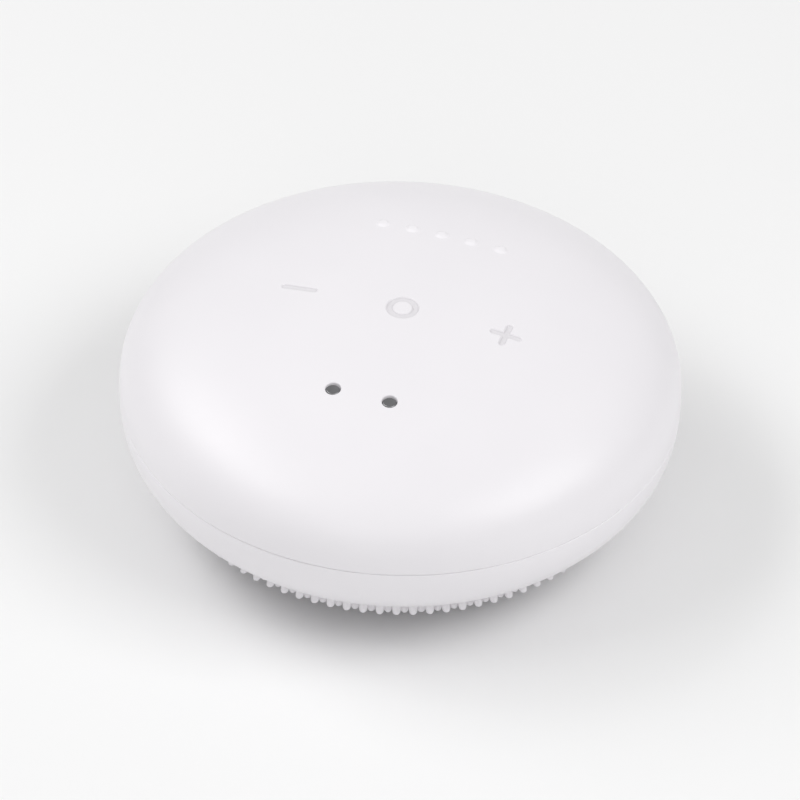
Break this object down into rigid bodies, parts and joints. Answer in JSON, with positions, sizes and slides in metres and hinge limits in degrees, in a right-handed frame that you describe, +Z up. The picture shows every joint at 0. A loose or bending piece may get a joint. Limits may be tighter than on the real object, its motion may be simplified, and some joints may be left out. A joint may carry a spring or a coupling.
{
  "type": "skin scrubber",
  "caption": "Round palm-held sonic skin scrubber: domed silicone back with plus, minus and power keys and charging contacts, and a silicone bristle face below.",
  "frame": {"origin": "middle of the plane the bristle tips rest on, under the centre of the round body", "axes": "+Z up out of the domed back; +X from the minus key to the plus key; +Y from the charging contacts to the row of dots"},
  "size_m": [0.08, 0.08, 0.0346],
  "materials": {
    "silicone_skin": "satin lilac-white silicone",
    "silicone_key": "satin lilac-white silicone",
    "shell_plastic": "moulded",
    "black_plastic": "moulded",
    "grey_seal": "matte",
    "black_seal": "matte",
    "screw_steel": "zinc plated",
    "switch_metal": "pressed",
    "board_laminate": "solder-masked glass laminate",
    "shield_tin": "tinned",
    "ferrite": "matte",
    "capacitor_ceramic": "matte",
    "led_lens": "clear yellow",
    "plug_nylon": "moulded",
    "battery_pouch": "foil laminate",
    "red_wire": "satin",
    "black_wire": "satin",
    "contact_metal": "dark nickel plated",
    "spring_gold": "gold plated",
    "magnet_plate": "nickel plated",
    "motor_steel": "plated",
    "bush_bronze": "sintered bronze",
    "copper": "bare or enamelled copper",
    "core_steel": "laminated",
    "weight_metal": "sintered"
  },
  "bodies": {
    "housing": {"back_skin": "silicone_skin", "front_skin": "silicone_skin", "bristle_field": "silicone_skin", "back_shell": "shell_plastic", "front_shell": "shell_plastic", "shell_gasket": "grey_seal", "shell_screws": "screw_steel", "switch_bases": "switch_metal", "circuit_board": "board_laminate", "board_screws": "screw_steel", "control_chip": "black_plastic", "radio_module": "shield_tin", "charge_chip": "black_plastic", "power_inductor": "ferrite", "board_capacitors": "capacitor_ceramic", "status_led": "led_lens", "battery_plug": "plug_nylon", "battery_cell": "battery_pouch", "battery_pad": "black_seal", "battery_red_lead": "red_wire", "battery_black_lead": "black_wire", "charge_contacts": "contact_metal", "contact_seals": "black_seal", "contact_springs": "spring_gold", "contact_carrier": "shell_plastic", "carrier_screw": "screw_steel", "dock_magnets": "magnet_plate", "motor_can": "motor_steel", "motor_end_cap": "black_plastic", "motor_bushes": "bush_bronze", "motor_magnets": "ferrite", "motor_brushes": "copper", "motor_sleeve": "black_seal", "motor_clamp": "motor_steel", "clamp_screws": "screw_steel", "motor_red_lead": "red_wire", "motor_black_lead": "black_wire"},
    "minus_button": {"minus_key": "silicone_key", "minus_plunger": "shell_plastic", "minus_switch_stem": "black_plastic"},
    "power_button": {"power_key": "silicone_key", "power_plunger": "shell_plastic", "power_switch_stem": "black_plastic"},
    "plus_button": {"plus_key": "silicone_key", "plus_plunger": "shell_plastic", "plus_switch_stem": "black_plastic"},
    "rotor": {"motor_shaft": "motor_steel", "armature_core": "core_steel", "armature_coils": "copper", "commutator": "copper", "eccentric_weight": "weight_metal"}
  },
  "joints": [
    {"name": "minus_press", "type": "slide", "parent": "housing", "child": "minus_button", "axis": [0, 0, -1], "range_m": [0, 0.0004], "stiffness_N_per_m": 4000},
    {"name": "power_press", "type": "slide", "parent": "housing", "child": "power_button", "axis": [0, 0, -1], "range_m": [0, 0.0004], "stiffness_N_per_m": 4000},
    {"name": "plus_press", "type": "slide", "parent": "housing", "child": "plus_button", "axis": [0, 0, -1], "range_m": [0, 0.0004], "stiffness_N_per_m": 4000},
    {"name": "motor_spin", "type": "hinge", "parent": "housing", "child": "rotor", "pos_m": [-0.003, 0.011, 0.0136], "axis": [1, 0, 0], "continuous": true}
  ]
}
